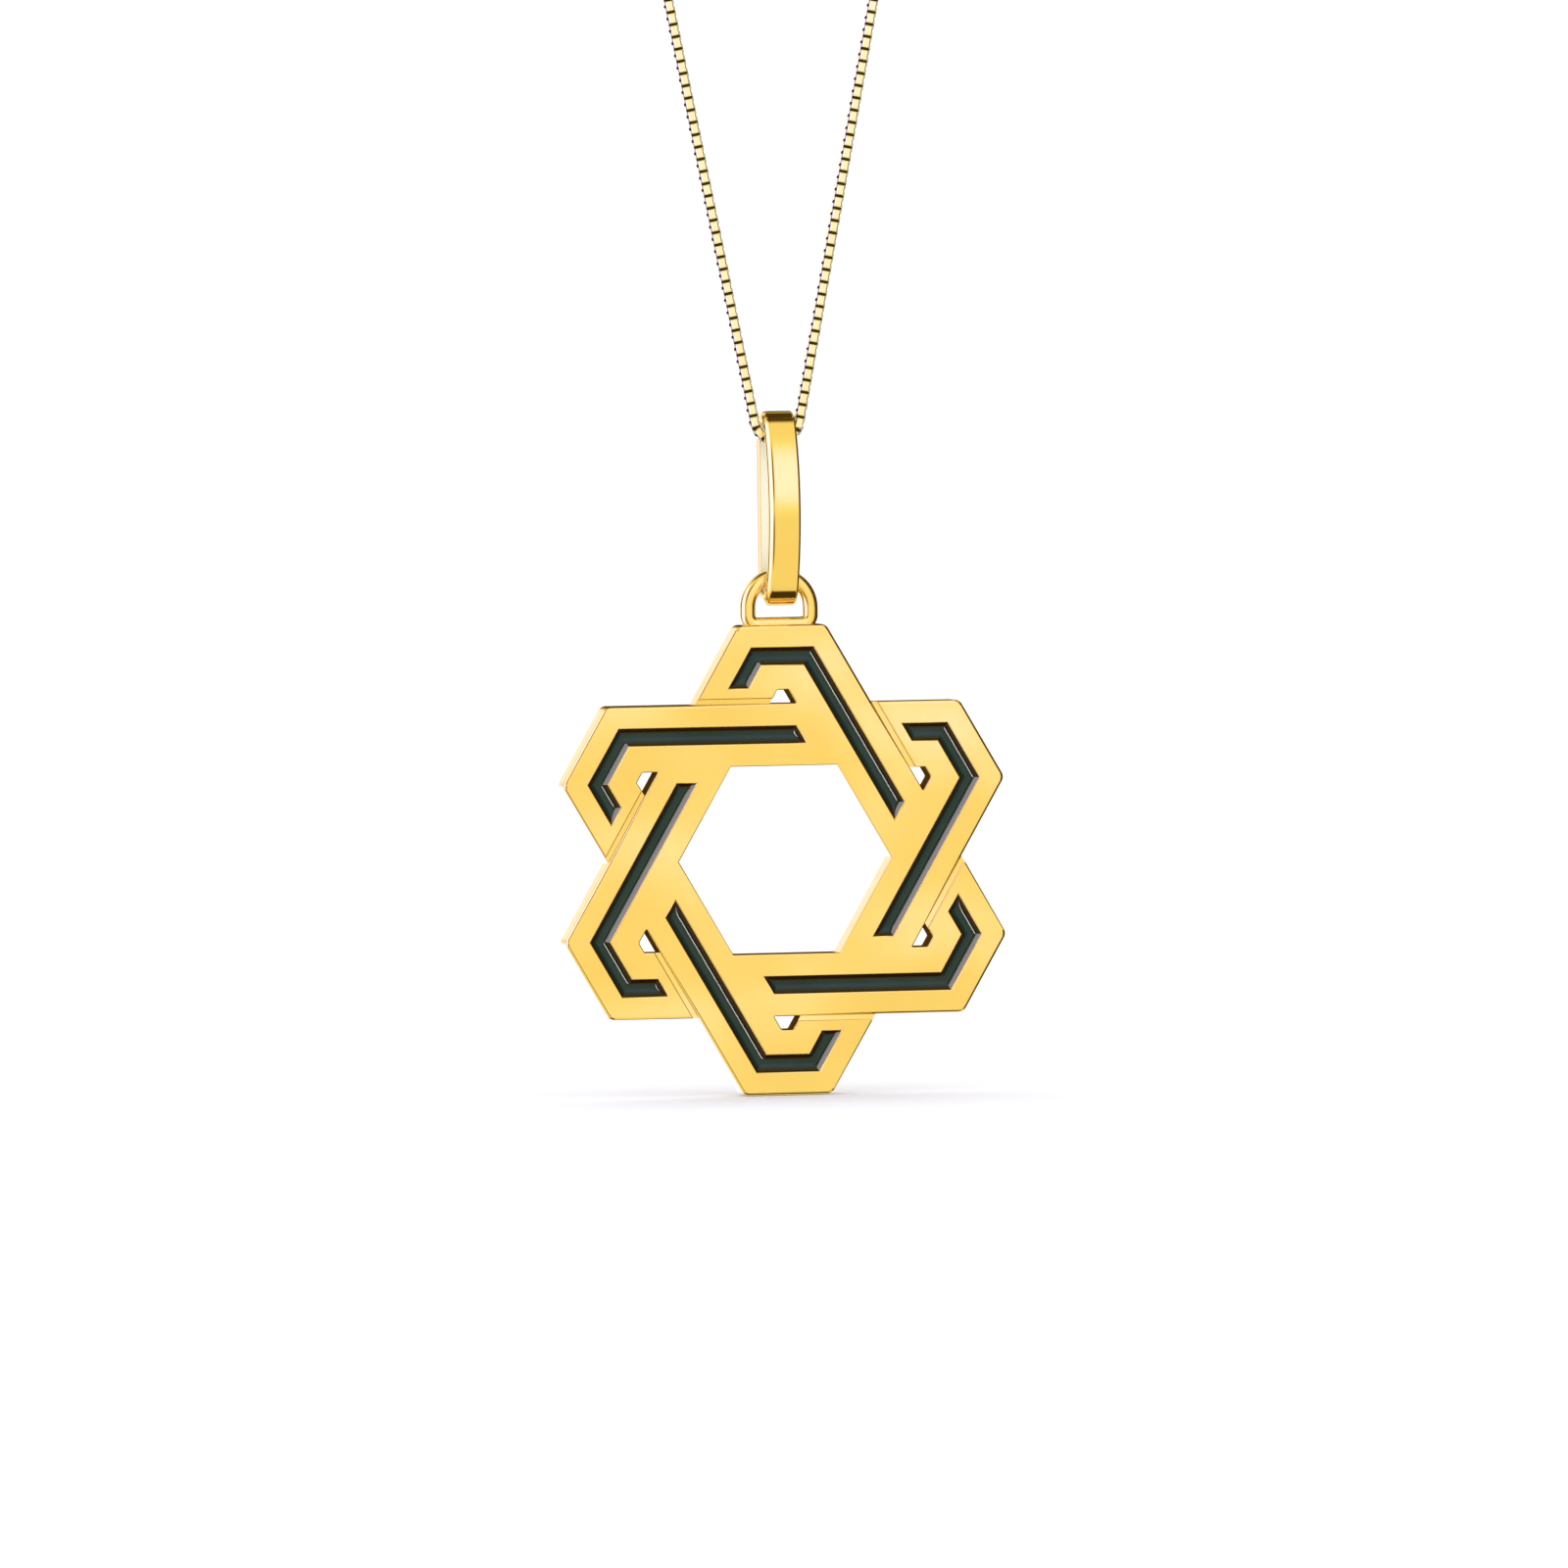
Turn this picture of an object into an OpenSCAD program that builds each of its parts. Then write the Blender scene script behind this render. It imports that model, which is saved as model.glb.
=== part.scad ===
/* [Star] */
// Height of the star from its top flat to its bottom flat
star_h = 20.8; // [18:0.2:26]
// Width of the interlaced bars
bar_w = 2.77; // [2.3:0.01:3]
// Distance from the star's centre to the middle line of each bar
bar_mid = 5.54; // [5.2:0.02:6.4]
// Thickness of the star, front to back
star_t = 1.3; // [1:0.05:2]
// Radius of the rounded corners at the tips
tip_r = 0.4; // [0.1:0.05:0.6]

/* [Piercing between the bars] */
// Width of each small tapered hole, on its long side
hole_w = 1.2; // [0.8:0.05:1.4]
// Height of each small tapered hole
hole_h = 0.6; // [0.3:0.05:0.7]
// Width of the step where one bar dips under another
dip_w = 0.27; // [0.1:0.01:0.4]
// Depth of that step at the upper bar's edge
dip_d = 0.2; // [0.05:0.01:0.3]

/* [Enamel] */
// Width of the enamel channels
channel_w = 0.74; // [0.4:0.02:1]
// Depth of the channels below the star's face
channel_d = 0.45; // [0.3:0.05:0.6]
// How far the enamel lies below the star's face
enamel_drop = 0.2; // [0.05:0.01:0.25]
// Distance from a channel's ends to the edge of the bar that crosses there
channel_end = 0.7; // [0.5:0.05:0.9]
// Play between the enamel and its channel
enamel_gap = 0.02; // [0.01:0.01:0.05]

/* [Loop on the star] */
// Width over the outside of the loop
loop_w = 3.48; // [3.2:0.02:4]
// Height of the loop above the star's top flat
loop_h = 2.48; // [2.4:0.02:3]
// Thickness of the loop's round wire
loop_wire = 0.65; // [0.5:0.05:0.7]

/* [Bail] */
// Height of the bail
bail_h = 8.6; // [7:0.1:11]
// Width of the bail's band
bail_w = 1.4; // [1:0.05:1.45]
// Thickness of the bail's band
bail_t = 0.5; // [0.4:0.05:0.55]
// Depth of the bail, from its straight back to the middle of its bowed front
bail_depth = 2.95; // [2.7:0.05:3.4]
// Outer radius of the bail's top and bottom turns
bail_r = 1.15; // [1.1:0.05:1.2]
// Distance from the chain's plane to the back of the bail
bail_back = 1.2; // [1.15:0.05:1.3]
// Gap between the bail's lower turn and the middle of the loop that hangs on it
loop_play = 0.49; // [0.45:0.01:0.6]

/* [Chain] */
// Length round the whole necklace, along its middle line
chain_len = 450; // [380:10:600]
// Thickness of the chain
chain_d = 0.48; // [0.4:0.02:0.5]
// Lean of each strand from the vertical, in degrees
chain_lean = 11; // [8:1:20]
// Radius of the chain's bend at each side of the bail
turn_r = 0.87; // [0.8:0.01:0.95]
// Length of the chain's level stretch inside the bail
turn_flat = 0.3; // [0.28:0.02:0.6]
// Distance from the chain's middle line up to the inside of the bail
chain_seat = 0.75; // [0.72:0.01:0.9]

/* [Clasp] */
// Outer diameter of the clasp's round tube ring
clasp_d = 5.5; // [5:0.1:7]
// Thickness of the clasp's tube
clasp_wire = 0.9; // [0.7:0.05:1]
// Outer diameter of the eye that is soldered to the clasp
eye_d = 1.9; // [1.8:0.05:2.2]
// Outer diameter of the ring between the clasp's eye and the chain
small_ring_d = 2.55; // [2.4:0.05:3]
// Outer diameter of the ring that the clasp hooks into
end_ring_d = 3.2; // [3.2:0.05:3.6]
// Thickness of the wire of the eye and of both rings
ring_wire = 0.48; // [0.4:0.02:0.5]
// Length of the small thumb knob on the clasp
knob_h = 0.8; // [0.5:0.1:1.2]

/* [Hidden] */
$fn = 64;
tips = 6;
cut = 0.5;
corner_steps = 6;
dip_steps = 5;
bail_turn_steps = 16;
bail_bow_steps = 20;
arc_steps = 18;
strand_steps = 12;
bend_steps = 4;
tube_sides = 8;
end_play = 0.08;
hook_play = 0.1;
knob_angle = 50;

// The star's main distances from its own centre
tip_z = star_h / 2;
inner_edge = bar_mid - bar_w / 2;
outer_edge = bar_mid + bar_w / 2;
flat_mid = tip_z - bar_w / 2;
face_y = -star_t / 2;

// Directions across the four edges that a tip's outline and channel follow
UP = [0, 1];
LEFT_LEG = [-cos(30), sin(30)];
RIGHT_LEG = [cos(30), sin(30)];
NEXT_BAR = [cos(30), -sin(30)];

// Heights from the star's centre: the loop's middle line, the bail and the chain's lowest point
loop_r = (loop_w - loop_wire) / 2;
loop_top = tip_z + loop_h - loop_wire / 2;
bail_low = loop_top - loop_wire / 2 - loop_play - bail_t;
chain_low = bail_low + bail_h - bail_t - chain_seat;

// The necklace as one closed line: a round top, two straight strands and the turn in the bail
top_turn = 90 + chain_lean;
bend_turn = 90 - chain_lean;
strand_per_r = cos(chain_lean) / sin(chain_lean);
strand_less = (turn_r * cos(chain_lean) + turn_flat / 2) / sin(chain_lean);
level_len = turn_flat + 2 * turn_r * bend_turn * PI / 180;
top_r = (chain_len - level_len + 2 * strand_less) / (2 * top_turn * PI / 180 + 2 * strand_per_r);
strand_len = top_r * strand_per_r - strand_less;
chain_z = -top_r * (1 + sin(chain_lean)) - strand_len * cos(chain_lean) - turn_r * (1 - sin(chain_lean));
star_z = chain_z - chain_low;

// Places along the round top, in millimetres from its middle
clasp_r = (clasp_d - clasp_wire) / 2;
eye_r = (eye_d - ring_wire) / 2;
small_ring_r = (small_ring_d - ring_wire) / 2;
end_ring_r = (end_ring_d - ring_wire) / 2;
eye_at = clasp_r + clasp_wire / 2 + eye_r - ring_wire / 4;
small_ring_at = eye_at + small_ring_r;
end_ring_at = -(clasp_r - clasp_wire / 2 - ring_wire / 2 - hook_play + end_ring_r);
chain_right = small_ring_at + small_ring_r + ring_wire / 2 + end_play;
chain_left = end_ring_at - end_ring_r - ring_wire / 2 - end_play;

// Where two straight lines meet, each given by its direction across and its distance from the centre
function meet(n1, d1, n2, d2) =
    let (det = n1[0] * n2[1] - n1[1] * n2[0])
    [(d1 * n2[1] - n1[1] * d2) / det, (n1[0] * d2 - d1 * n2[0]) / det];

function turned(p, a) = [cos(a) * p[0] - sin(a) * p[1], sin(a) * p[0] + cos(a) * p[1]];

function arc(centre, r, from, to, steps) =
    [for (i = [0:steps]) let (a = from + (to - from) * i / steps) centre + r * [cos(a), sin(a)]];

// A tip's two rounded corners, and the notch that leads to the next tip, going round to the left
function tip_outline() =
    let (
        corner = meet(RIGHT_LEG, outer_edge - tip_r, UP, tip_z - tip_r),
        notch = meet(LEFT_LEG, outer_edge, UP, outer_edge)
    )
    concat(
        arc(corner, tip_r, 30, 90, corner_steps),
        arc([-corner[0], corner[1]], tip_r, 90, 150, corner_steps),
        [notch]
    );

// The enamel's line on one tip: a short arm on the left leg, the flat, and a long arm on the right leg
function channel_outline(play) =
    let (
        in = bar_mid - channel_w / 2 + play,
        out = bar_mid + channel_w / 2 - play,
        flat_in = flat_mid - channel_w / 2 + play,
        flat_out = flat_mid + channel_w / 2 - play,
        short_end = outer_edge + channel_end + play,
        long_end = inner_edge - channel_end - play
    )
    [
        meet(LEFT_LEG, out, UP, short_end),
        meet(LEFT_LEG, in, UP, short_end),
        meet(LEFT_LEG, in, UP, flat_in),
        meet(RIGHT_LEG, in, UP, flat_in),
        meet(RIGHT_LEG, in, NEXT_BAR, long_end),
        meet(RIGHT_LEG, out, NEXT_BAR, long_end),
        meet(RIGHT_LEG, out, UP, flat_out),
        meet(LEFT_LEG, out, UP, flat_out)
    ];

// Side view of the bail, front to the left: straight back, two round turns and a bowed front
function bail_outline(inset) =
    let (
        half = bail_h / 2 - bail_r,
        turn_y = bail_back - bail_r,
        bow_out = bail_depth - bail_back + turn_y,
        bow_r = (half * half + bow_out * bow_out - bail_r * bail_r) / (2 * (bow_out - bail_r)),
        bow_y = turn_y - bow_out + bow_r,
        bow_a = atan2(half, bow_y - turn_y),
        mid = bail_low + bail_h / 2
    )
    concat(
        arc([turn_y, mid + half], bail_r - inset, 0, 180 - bow_a, bail_turn_steps),
        arc([bow_y, mid], bow_r - inset, 180 - bow_a, 180 + bow_a, bail_bow_steps),
        arc([turn_y, mid - half], bail_r - inset, 180 + bow_a, 360, bail_turn_steps)
    );

// Right half of the chain's route in its own plane, from the clasp down to the middle of the bail
function half_route(start) =
    let (
        first = start / top_r * 180 / PI,
        bend_mid = [turn_flat / 2, chain_z + turn_r],
        strand_top = [top_r * cos(chain_lean), -top_r * (1 + sin(chain_lean))],
        down = [-sin(chain_lean), -cos(chain_lean)]
    )
    concat(
        arc([0, -top_r], top_r, 90 - first, -chain_lean, arc_steps),
        [for (i = [1:strand_steps - 1]) strand_top + down * strand_len * i / strand_steps],
        arc(bend_mid, turn_r, -chain_lean, -90, bend_steps)
    );

function mirrored(points) = [for (i = [len(points) - 1:-1:0]) [-points[i][0], points[i][1]]];

function chain_route() = concat(half_route(chain_right), mirrored(half_route(-chain_left)));

function unit(v) = v / norm(v);

// Rings of points round a route in the front plane, each square to the route where it stands
function tube_points(route, r, sides) =
    let (last = len(route) - 1)
    [
        for (i = [0:last], j = [0:sides - 1])
            let (
                before = unit(route[max(i, 1)] - route[max(i, 1) - 1]),
                after = unit(route[min(i, last - 1) + 1] - route[min(i, last - 1)]),
                along = unit(before + after),
                a = 360 * (j + 0.5) / sides
            )
            [route[i][0] - r * cos(a) * along[1], r * sin(a), route[i][1] + r * cos(a) * along[0]]
    ];

function tube_faces(rings, sides) =
    concat(
        [[for (j = [0:sides - 1]) j]],
        [
            for (i = [0:rings - 2], j = [0:sides - 1])
                let (k = (j + 1) % sides)
                [i * sides + j, (i + 1) * sides + j, (i + 1) * sides + k, i * sides + k]
        ],
        [[for (j = [sides - 1:-1:0]) (rings - 1) * sides + j]]
    );

// Stands a flat outline up in the front plane, from one depth to another
module upright(front, back) {
    translate([0, back, 0]) rotate([90, 0, 0]) linear_extrude(back - front) children();
}

module at_tip(i) {
    rotate([0, -360 / tips * i, 0]) children();
}

module at_star() {
    translate([0, 0, star_z]) children();
}

// A place on the necklace's round top, turned to lie along it
module at_top(s) {
    a = s / top_r * 180 / PI;
    translate([top_r * sin(a), 0, top_r * (cos(a) - 1)]) rotate([0, a, 0]) children();
}

module wire_ring(r, wire) {
    rotate_extrude() translate([r, 0]) circle(d = wire);
}

module small_hole() {
    slope = tan(30) * hole_h;
    translate([0, outer_edge])
        polygon([[-hole_w / 2, 0], [hole_w / 2, 0], [hole_w / 2 - slope, hole_h], [slope - hole_w / 2, hole_h]]);
}

module star_plate() {
    upright(-star_t / 2, star_t / 2) difference() {
        polygon([for (i = [0:tips - 1], p = tip_outline()) turned(p, 360 / tips * i)]);
        circle(r = inner_edge / cos(30), $fn = tips);
        for (i = [0:tips - 1]) rotate(360 / tips * i) small_hole();
    }
}

// The rolled step along the upper bar's edge, where a tip's left leg goes under it
module dip() {
    reach = outer_edge / cos(30) * sin(30) + cut;
    stop = hole_w / 2 - dip_w * tan(30);
    rolled = [
        for (i = [0:dip_steps])
            let (a = 90 * i / dip_steps)
            [face_y + dip_d * (1 - sin(a)), outer_edge + dip_w * (1 - cos(a))]
    ];
    translate([-reach, 0, 0]) rotate([90, 0, 90]) linear_extrude(reach - stop)
        polygon(concat(rolled, [[face_y - cut, outer_edge + dip_w], [face_y - cut, outer_edge]]));
}

module star_loop() {
    translate([0, 0, loop_top - loop_r]) {
        rotate([90, 0, 0]) rotate_extrude(angle = 180) translate([loop_r, 0]) circle(d = loop_wire);
        for (side = [-1, 1])
            translate([side * loop_r, 0, tip_z - loop_wire - (loop_top - loop_r)])
                cylinder(d = loop_wire, h = loop_top - loop_r - tip_z + loop_wire);
    }
    translate([-loop_r, 0, tip_z]) rotate([0, 90, 0]) cylinder(d = loop_wire, h = 2 * loop_r);
}

module star_frame() {
    color([0.98, 0.8, 0.4]) at_star() {
        difference() {
            star_plate();
            for (i = [0:tips - 1]) at_tip(i) {
                upright(face_y - cut, face_y + channel_d) polygon(channel_outline(0));
                dip();
            }
        }
        star_loop();
    }
}

module enamel(i) {
    color([0.13, 0.18, 0.17]) at_star() at_tip(i - 1)
        upright(face_y + enamel_drop, face_y + channel_d - enamel_gap) polygon(channel_outline(enamel_gap));
}

module bail() {
    color([0.98, 0.82, 0.45]) at_star()
        translate([-bail_w / 2, 0, 0]) rotate([90, 0, 90]) linear_extrude(bail_w) difference() {
            polygon(bail_outline(0));
            polygon(bail_outline(bail_t));
        }
}

module chain() {
    route = chain_route();
    color([0.95, 0.85, 0.5])
        polyhedron(tube_points(route, chain_d / 2, tube_sides), tube_faces(len(route), tube_sides));
}

// A closed round clasp with its thumb knob and soldered eye
module clasp() {
    color([0.98, 0.8, 0.4]) {
        rotate([90, 0, 0]) wire_ring(clasp_r, clasp_wire);
        at_top(eye_at) rotate([90, 0, 0]) wire_ring(eye_r, ring_wire);
        rotate([0, knob_angle, 0]) translate([0, 0, clasp_r]) cylinder(d = ring_wire, h = clasp_wire / 2 + knob_h);
    }
}

module clasp_ring() {
    color([0.98, 0.82, 0.45]) at_top(small_ring_at) wire_ring(small_ring_r, ring_wire);
}

module end_ring() {
    color([0.98, 0.82, 0.45]) at_top(end_ring_at) wire_ring(end_ring_r, ring_wire);
}

star_frame();
enamel(1);  // enamel_1
enamel(2);  // enamel_2
enamel(3);  // enamel_3
enamel(4);  // enamel_4
enamel(5);  // enamel_5
enamel(6);  // enamel_6
bail();
chain();
clasp();
clasp_ring();
end_ring();
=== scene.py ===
import math

import bmesh
import bpy
import numpy as np
from mathutils import Matrix, Vector


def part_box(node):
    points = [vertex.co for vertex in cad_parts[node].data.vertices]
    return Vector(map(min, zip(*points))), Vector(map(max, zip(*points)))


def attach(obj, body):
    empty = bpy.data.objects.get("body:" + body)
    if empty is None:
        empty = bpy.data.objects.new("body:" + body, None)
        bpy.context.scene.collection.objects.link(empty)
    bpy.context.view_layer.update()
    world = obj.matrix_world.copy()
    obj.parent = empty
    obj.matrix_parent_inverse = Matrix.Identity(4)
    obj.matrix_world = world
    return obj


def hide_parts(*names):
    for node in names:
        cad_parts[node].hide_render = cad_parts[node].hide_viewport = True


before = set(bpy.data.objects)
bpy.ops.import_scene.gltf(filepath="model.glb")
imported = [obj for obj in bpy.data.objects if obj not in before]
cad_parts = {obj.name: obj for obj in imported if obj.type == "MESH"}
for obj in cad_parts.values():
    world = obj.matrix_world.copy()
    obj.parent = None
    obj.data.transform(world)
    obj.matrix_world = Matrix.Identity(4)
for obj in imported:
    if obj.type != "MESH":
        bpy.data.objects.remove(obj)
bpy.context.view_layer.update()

# Lengths are in millimetres and angles in degrees
MM = 0.001

# Points that agree to this many decimals are one point
SAME_DIGITS = 3
SAME = 10 ** -SAME_DIGITS


def span(node):
    """A node's lowest and highest corners in the frame."""
    low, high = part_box(node)
    return low / MM, high / MM


star_low, star_high = span("star_frame")
bail_low, bail_high = span("bail")
chain_low, chain_high = span("chain")

# Star: its height without the loop, the width of its bars and how far their middle lies from its centre
STAR_H = 20.8
BAR_W, BAR_MID = 2.77, 5.54
TIPS = 6
LEG_ANGLE = 30
TIP_R, TIP_STEPS = 0.4, 8

# The small hole under each tip
HOLE_W, HOLE_H = 1.2, 0.6
HOLE_R, HOLE_STEPS = 0.06, 3

# How dark the shade painted on the hole's walls is, how far from its middle it reaches, and how far
# forward a wall's normal may lean
HOLE_PAINTED_SHADE, HOLE_PAINTED_SHADE_R, WALL_LEAN = 1.0, 0.8, 0.3

# The groove where one bar rolls down under the next, with a round shoulder
DIP_W, DIP_D = 0.27, 0.09
SHOULDER_W, SHOULDER_D, SHOULDER_STEPS = 0.06, 0.08, 6

# The channel for the enamel, and how far its ends stay from the bars that cross it
CHANNEL_W, CHANNEL_D, CHANNEL_END = 0.74, 0.45, 0.7

# The star's soft edges, finer at its openings and channels. Edges flatter than EDGE_ANGLE stay sharp
EDGE_ROUND, INNER_EDGE_SHARE = 0.14, 0.45
EDGE_STEPS, EDGE_ANGLE = 4, 40
WELD = 0.0001

STAR_Z = star_low.z + STAR_H / 2
FACE_Y = star_low.y
BACK_Y = -FACE_Y
TIP_Z = STAR_H / 2
TIP_TURN = 360 / TIPS
INNER_EDGE = BAR_MID - BAR_W / 2
OUTER_EDGE = BAR_MID + BAR_W / 2
FLAT_MID = TIP_Z - BAR_W / 2
LEG_SLOPE = math.tan(math.radians(LEG_ANGLE))

# Directions straight across the top tip's flat, its two legs, and the bar that its long leg ends at
UP = Vector((0, 1))
LEFT_LEG = Vector((-math.cos(math.radians(LEG_ANGLE)), math.sin(math.radians(LEG_ANGLE))))
RIGHT_LEG = Vector((-LEFT_LEG.x, LEFT_LEG.y))
NEXT_BAR = -LEFT_LEG

# Enamel: the depth of its rim and middle under the face, and the width of the hollow curve between them
ENAMEL_RIM, ENAMEL_MID, ENAMEL_CURVE_W = 0.07, 0.21, 0.35
# How far aside the enamel's rim is measured, so that the shade painted at the rim is wider on the right
# and at the top
ENAMEL_SHADE_SHIFT = Vector((0.05, 0.035))
ENAMEL_STEP, ENAMEL_ACROSS = 0.12, 14
ENAMEL_FINE_L, ENAMEL_FINE_STEPS = 0.2, 6
ENAMEL_SHARP_ANGLE = 50

# Loop soldered on the star
LOOP_W, LOOP_WIRE, LOOP_CORNER_R = 3.48, 0.65, 0.42
LOOP_SQUARENESS = 0.75
LOOP_STEPS, LOOP_CORNER_STEPS, LOOP_SIDES = 28, 8, 32

# Bail: its band's thickness, the radius of its two round turns, and those of the band's edges
BAIL_T, BAIL_R = 0.5, 1.15
BAIL_LEFT_R, BAIL_RIGHT_R, BAIL_INNER_R = 0.27, 0.13, 0.1
BAIL_EDGE_STEPS, BAIL_TURN_STEPS, BAIL_FRONT_STEPS = 6, 28, 36
BAIL_SHARP_ANGLE = 35

# Chain: box links, each a strip bent into a box that reaches LINK_OUT from the chain's middle
LINK_L, LINK_W, LINK_T = 0.455, 0.31, 0.075
LINK_OUT, LINK_PITCH = 0.235, 0.2755
LINK_CHAMFER, LINK_CORNER_R, LINK_CORNER_STEPS = 0.025, 0.06, 2
STUD_L, STUD_W = 0.088, 0.37
LINKS_A_PIECE = 400

# How dark the shade painted on a link is at each depth from its strip's outside, and on its dark stud
# between the plates, which paints the shadow seen through the link
LINK_PAINTED_SHADE = {0: 0.0, LINK_CHAMFER: 0.3, LINK_T: 0.5}
STUD_PAINTED_SHADE = 1.0

# The chain's route: a round top, two straight strands and the turn in the bail, flat in its middle
TURN_R, TURN_FLAT = 0.87, 0.3
TOP_STEPS, TURN_STEPS = 600, 60
TOP_R = chain_high.x - LINK_OUT
TURN_Z = chain_low.z + LINK_OUT + TURN_R
DROP = -(TOP_R + TURN_Z)
RUN = math.hypot(TURN_FLAT / 2, DROP)
LEAN = math.degrees(math.asin((TOP_R - TURN_R) / RUN) - math.atan2(TURN_FLAT / 2, DROP))

# Clasp and rings at the back of the neck
CLASP_D, CLASP_WIRE = 2 * span("clasp")[1].z, 0.9
EYE_D, SMALL_RING_D, END_RING_D = 1.9, 2.55, 2 * span("end_ring")[1].y
RING_WIRE = 0.48
CLASP_STEPS, CLASP_SIDES = 96, 28
RING_STEPS, RING_SIDES = 64, 20
CLASP_SHARP_ANGLE = 40
KNOB_H, KNOB_ANGLE = 0.8, 50
KNOB_END_ANGLE, KNOB_END_STEPS = 80, 6
END_PLAY, HOOK_PLAY = 0.08, 0.1
END_LINK_D, END_LINK_WIRE = 0.91, 0.16
END_LINK_STEPS, END_LINK_SIDES = 40, 12

# Their radii to the middle of the wire, and their places along the round top, from its middle. The eye
# is soldered a quarter of its wire into the clasp
CLASP_R = (CLASP_D - CLASP_WIRE) / 2
EYE_R = (EYE_D - RING_WIRE) / 2
SMALL_RING_R = (SMALL_RING_D - RING_WIRE) / 2
END_RING_R = (END_RING_D - RING_WIRE) / 2
EYE_AT = CLASP_R + CLASP_WIRE / 2 + EYE_R - RING_WIRE / 4
SMALL_RING_AT = EYE_AT + SMALL_RING_R
END_RING_AT = -(CLASP_R - CLASP_WIRE / 2 - RING_WIRE / 2 - HOOK_PLAY + END_RING_R)
CHAIN_RIGHT = SMALL_RING_AT + SMALL_RING_R + RING_WIRE / 2 + END_PLAY
CHAIN_LEFT = END_RING_AT - END_RING_R - RING_WIRE / 2 - END_PLAY

# Camera: a long lens, a little to the left of the face, with the width that it sees at the pendant
FRAME_WIDTH = 69.4
LENS, SENSOR = 355, 36
AZIMUTH, ELEVATION, ROLL = -12, 2, -0.8
AIM_X, AIM_ABOVE_STAR = 0.12, 3.33
CLIP_NEAR, CLIP_FAR = 10, 50000

# What the metal mirrors: a white surround with dark flags and light cards. Each has a direction, the
# angles where its soft edge starts and ends, and how much it dims or adds
FRONT_LEVEL = 0.97
FLAGS = (
    ((0, 0.25, 1), 25, 44, 0.93),
    ((0, -0.12, -1), 26, 40, 0.94),
    ((1, 0.05, 0.05), 44, 62, 0.92),
    ((0.21, 0.98, 0.02), 9, 17, 0.93),
    ((0.2, 0.92, 0.34), 11, 20, 0.9),
    ((-0.6, 0.8, 0), 12, 27, 0.88),
    ((-0.42, -0.87, 0.3), 9, 20, 0.75),
    ((-0.42, -0.87, -0.3), 9, 20, 0.75),
)
CARDS = (
    ((0.2, -0.935, 0.29), 3, 24, 0.36),
    ((-1, -0.15, 0.1), 28, 48, 0.6),
    ((-0.2, 0.97, -0.03), 14, 24, 0.3),
    ((-0.07, 0.98, -0.22), 3, 14, 0.4),
)

# The surround's tints where it is dim, even and bright, and the levels between which they change over
DEEP, WARM, COOL = (1.0, 0.6, 0.12), (1.0, 0.86, 0.4), (0.98, 0.88, 1.6)
DEEP_LEVELS, COOL_LEVELS = (0.0, 0.6), (1.1, 1.5)

# The plain white that lights the floor and fills the picture's background
FLOOR_FILL = 1.13

# The floor's lamp, placed from the star's centre, and the enamel's strip lamps: azimuth, elevation,
# width, height and level
HIGH_LAMP_X, HIGH_LAMP_Y, HIGH_LAMP_Z = -40, 330, 380
HIGH_LAMP_SIZE, HIGH_LAMP_POWER = (800, 500), 0.4
STRIPS = ((-45, 24, 360, 500, 8), (-17, -19, 70, 200, 26))
STRIP_FAR = 600

# The floor, and its gap under the star
FLOOR_SIZE, FLOOR_CELLS, FLOOR_GAP = 6000, 8, 0.04
FLOOR_TONES = ((0.895, 0.905, 0.93), (0.905, 0.915, 0.94))

# Colours of the shade painted inside the chain's links and on the walls of the star's holes, and of the
# enamel, with the shade painted at its rim
PAINTED_SHADE, HOLE_SHADE_BROWN = (0.05, 0.028, 0.006), (0.22, 0.115, 0.012)
SLATE_TONES, ENAMEL_RIM_SHADE = ((0.005, 0.026, 0.024), (0.012, 0.036, 0.032)), (0.02, 0.008, 0.001)
ENAMEL_RIM_FADE = (0.1, 0.22)

# Number of the noise pattern that the gold's slow waves follow
WAVE_PATTERN = 4.5


def meet(n1, d1, n2, d2):
    """Where two lines meet, each given by its direction across and its distance from the centre."""
    det = n1.x * n2.y - n1.y * n2.x
    return Vector(((d1 * n2.y - n1.y * d2) / det, (n1.x * d2 - d1 * n2.x) / det))


def arc(centre, radius, start, end, steps):
    """Points on an arc in a plane, from one angle to another."""
    angles = [math.radians(start + (end - start) * i / steps) for i in range(steps + 1)]
    return [Vector(centre) + radius * Vector((math.cos(a), math.sin(a))) for a in angles]


def turned(points, degrees):
    """Points in a plane, turned round the centre."""
    c, s = math.cos(math.radians(degrees)), math.sin(math.radians(degrees))
    return [Vector((c * p.x - s * p.y, s * p.x + c * p.y)) for p in points]


def rounded(points, radius, steps):
    """A closed outline with each corner turned into a small curve."""
    made = []
    for i, corner in enumerate(points):
        back = (points[i - 1] - corner).normalized() * radius
        ahead = (points[(i + 1) % len(points)] - corner).normalized() * radius
        for k in range(steps + 1):
            t = k / steps
            made.append(corner + back * (1 - t) ** 2 + ahead * t ** 2)
    return made


def distance_to(p, outline):
    """Distance from a point to the nearest side of a closed outline."""
    best = math.inf
    for i, a in enumerate(outline):
        b = outline[(i + 1) % len(outline)]
        t = max(0, min(1, (p - a).dot(b - a) / (b - a).length_squared))
        best = min(best, (p - a - (b - a) * t).length)
    return best


def directions(path):
    """Each point of a closed path, with the direction to the next one and the mean direction there."""
    made = []
    for i, p in enumerate(path):
        ahead = (path[(i + 1) % len(path)] - p).normalized()
        behind = (p - path[i - 1]).normalized()
        made.append((p, ahead, (ahead + behind).normalized()))
    return made


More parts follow.
